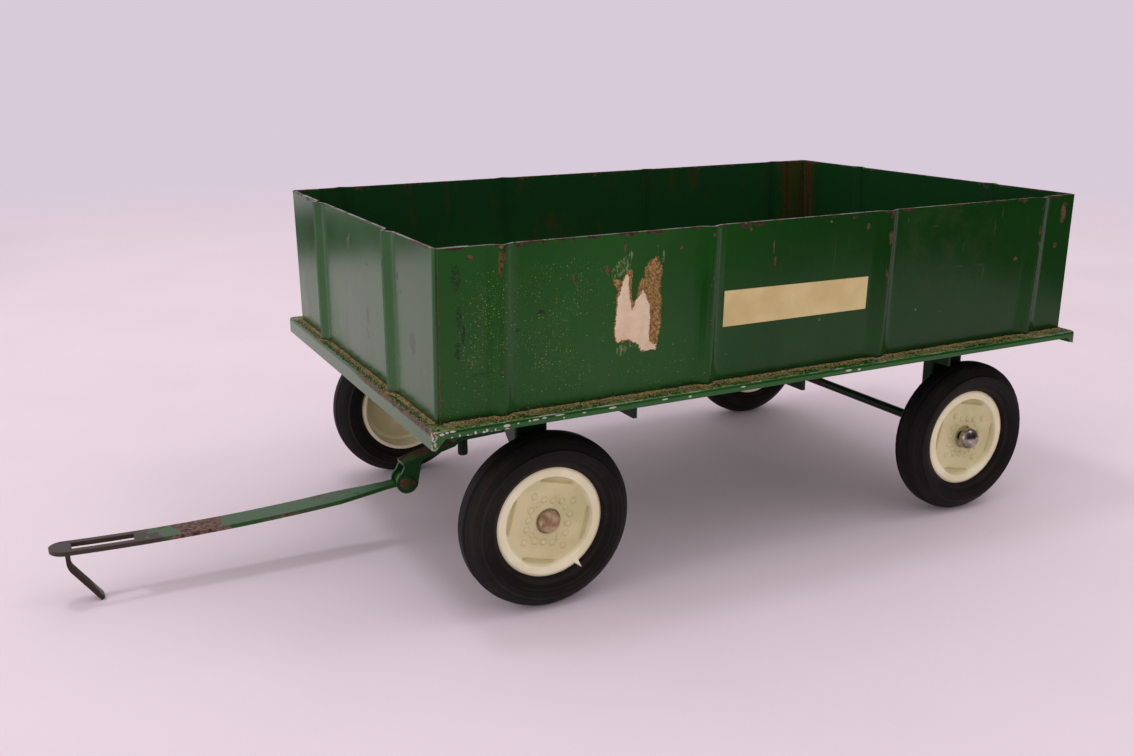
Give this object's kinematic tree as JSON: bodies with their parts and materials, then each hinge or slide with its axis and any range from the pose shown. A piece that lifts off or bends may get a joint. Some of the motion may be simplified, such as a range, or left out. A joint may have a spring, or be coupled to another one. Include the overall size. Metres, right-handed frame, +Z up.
{
  "type": "toy barge wagon",
  "caption": "Pressed-steel toy farm wagon with an open ribbed load box on a flat deck, steering front axle, free-turning rubber-tyred wheels and a hinged drawbar with a hook.",
  "frame": {"origin": "on the ground, in the middle of the overall length and on the centre plane", "axes": "+X forwards to the drawbar, +Y to the wagon's left, +Z up"},
  "size_m": [0.317, 0.1476, 0.1052],
  "materials": {
    "green_paint": "gloss green enamel on sheet steel, chipped, dusty and rusting at the edges",
    "rusty_steel": "bare rivet heads browned by rust",
    "bright_steel": "bright plated push-on caps, slightly dulled",
    "ivory_plastic": "moulded ivory plastic, satin",
    "black_tyre": "black rubber, dull, ribbed tread",
    "paper_label": "yellowed paper: a blank label and what is left of a torn one, with old glue about it",
    "field_dust": "dry crumbs of khaki dust caked along the foot of the box"
  },
  "bodies": {
    "chassis": {"deck": "green_paint", "box_side_left": "green_paint", "box_side_right": "green_paint", "box_front": "green_paint", "box_rear": "green_paint", "cross_sill_rear": "green_paint", "cross_sill_middle": "green_paint", "cross_sill_front": "green_paint", "rear_axle_bracket": "green_paint", "rear_axle": "green_paint", "axle_cap_left": "bright_steel", "axle_cap_right": "bright_steel", "pivot_dish": "green_paint", "king_pin": "green_paint"},
    "front_truck": {"front_axle_bracket": "green_paint", "stub_axle_left": "rusty_steel", "stub_axle_right": "rusty_steel", "pole_bracket": "green_paint", "drawbar_rivet": "rusty_steel"},
    "drawbar_arm": {"drawbar": "green_paint"},
    "wheel_front_left": {"rim_front_left": "ivory_plastic", "tyre_front_left": "black_tyre"},
    "wheel_front_right": {"rim_front_right": "ivory_plastic", "tyre_front_right": "black_tyre"},
    "wheel_rear_left": {"rim_rear_left": "ivory_plastic", "tyre_rear_left": "black_tyre"},
    "wheel_rear_right": {"rim_rear_right": "ivory_plastic", "tyre_rear_right": "black_tyre"}
  },
  "joints": [
    {"name": "steering", "type": "hinge", "parent": "chassis", "child": "front_truck", "pos_m": [0.0332, 0, 0.052], "axis": [0, 0, 1], "range_deg": [-45, 45]},
    {"name": "drawbar_hinge", "type": "hinge", "parent": "front_truck", "child": "drawbar_arm", "pos_m": [0.0534, 0, 0.0197], "axis": [0, -1, 0], "range_deg": [0, 40]},
    {"name": "wheel_front_left_spin", "type": "hinge", "parent": "front_truck", "child": "wheel_front_left", "pos_m": [0.0332, 0.0615, 0.0254], "axis": [0, 1, 0], "continuous": true},
    {"name": "wheel_front_right_spin", "type": "hinge", "parent": "front_truck", "child": "wheel_front_right", "pos_m": [0.0332, -0.0615, 0.0254], "axis": [0, 1, 0], "continuous": true},
    {"name": "wheel_rear_left_spin", "type": "hinge", "parent": "chassis", "child": "wheel_rear_left", "pos_m": [-0.122, 0.0615, 0.0254], "axis": [0, 1, 0], "continuous": true},
    {"name": "wheel_rear_right_spin", "type": "hinge", "parent": "chassis", "child": "wheel_rear_right", "pos_m": [-0.122, -0.0615, 0.0254], "axis": [0, 1, 0], "continuous": true}
  ]
}
